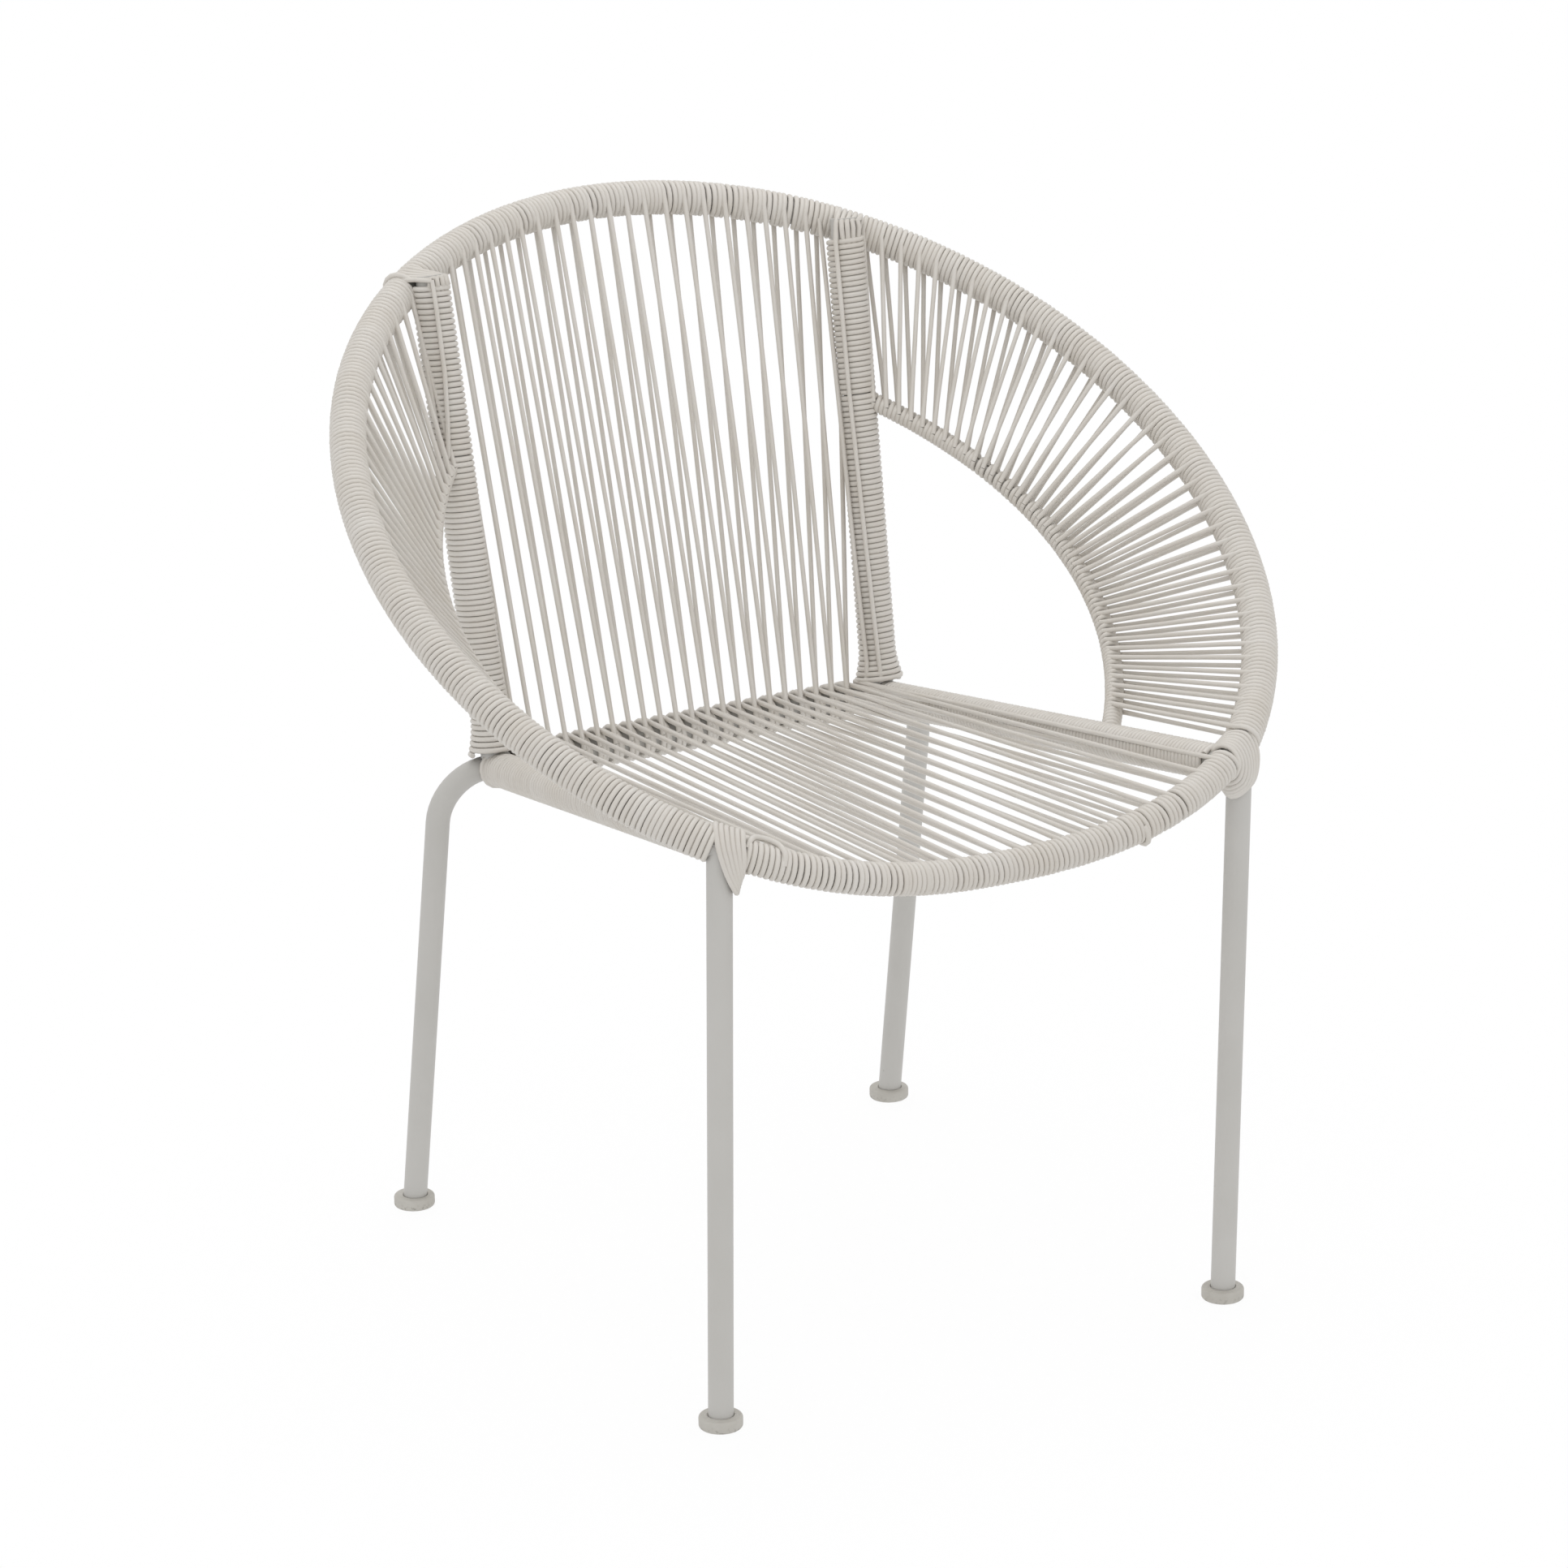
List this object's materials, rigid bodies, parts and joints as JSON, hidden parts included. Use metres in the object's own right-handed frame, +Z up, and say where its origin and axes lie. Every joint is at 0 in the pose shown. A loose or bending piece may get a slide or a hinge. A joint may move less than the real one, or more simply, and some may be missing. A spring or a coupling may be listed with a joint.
{
  "type": "lounge chair",
  "caption": "Low armchair with a wound steel tube hoop, strung back, sides and seat of round cord, and slender legs with foot caps.",
  "frame": {"origin": "on the floor under the middle of the chair's overall width and depth", "axes": "+Z up, -Y towards the front of the seat, +X to the sitter's left, which is the right of the chair seen from the front"},
  "size_m": [0.7194, 0.6474, 0.8041],
  "materials": {
    "powder_coat": "satin powder coat",
    "cord": "smooth extruded vinyl",
    "foot_cap": "moulded, satin"
  },
  "bodies": {
    "root": {"hoop_tube": "powder_coat", "front_bow_tube": "powder_coat", "rear_leg_frame": "powder_coat", "crossbar_winding": "cord", "back_strings": "cord", "seat_strings": "cord", "left_front_leg": "powder_coat", "left_seat_rail": "powder_coat", "left_back_post": "powder_coat", "left_arm_arch": "powder_coat", "left_front_foot_cap": "foot_cap", "left_rear_foot_cap": "foot_cap", "left_rail_winding": "cord", "left_post_lower_winding": "cord", "left_post_upper_winding": "cord", "left_side_strings": "cord", "right_front_leg": "powder_coat", "right_seat_rail": "powder_coat", "right_back_post": "powder_coat", "right_arm_arch": "powder_coat", "right_front_foot_cap": "foot_cap", "right_rear_foot_cap": "foot_cap", "right_rail_winding": "cord", "right_post_lower_winding": "cord", "right_post_upper_winding": "cord", "right_side_strings": "cord"}
  },
  "joints": []
}
